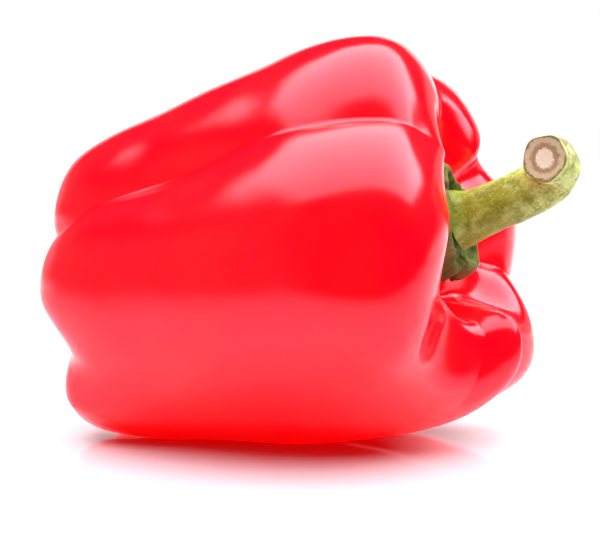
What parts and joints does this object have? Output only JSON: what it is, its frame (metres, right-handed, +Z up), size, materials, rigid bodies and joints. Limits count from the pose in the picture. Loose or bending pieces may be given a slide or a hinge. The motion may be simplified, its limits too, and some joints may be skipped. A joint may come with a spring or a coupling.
{
  "type": "bell pepper",
  "caption": "Red bell pepper lying on its side, with deep furrows between its lobes, a green calyx in the stem cavity and a bent, cut stem.",
  "frame": {"origin": "on the ground under the middle of the pepper's outer box", "axes": "+Z up from the ground that the pepper lies on, +X towards the stem end, -Y towards the front, the side that the cut end of the stem faces"},
  "size_m": [0.1056, 0.0832, 0.0814],
  "materials": {
    "fruit_skin": "smooth glossy waxy skin",
    "calyx_green": "matt, slightly wrinkled",
    "stem_green": "matt, ridged and speckled"
  },
  "bodies": {
    "root": {"fruit": "fruit_skin", "calyx": "calyx_green", "stem": "stem_green"}
  },
  "joints": []
}
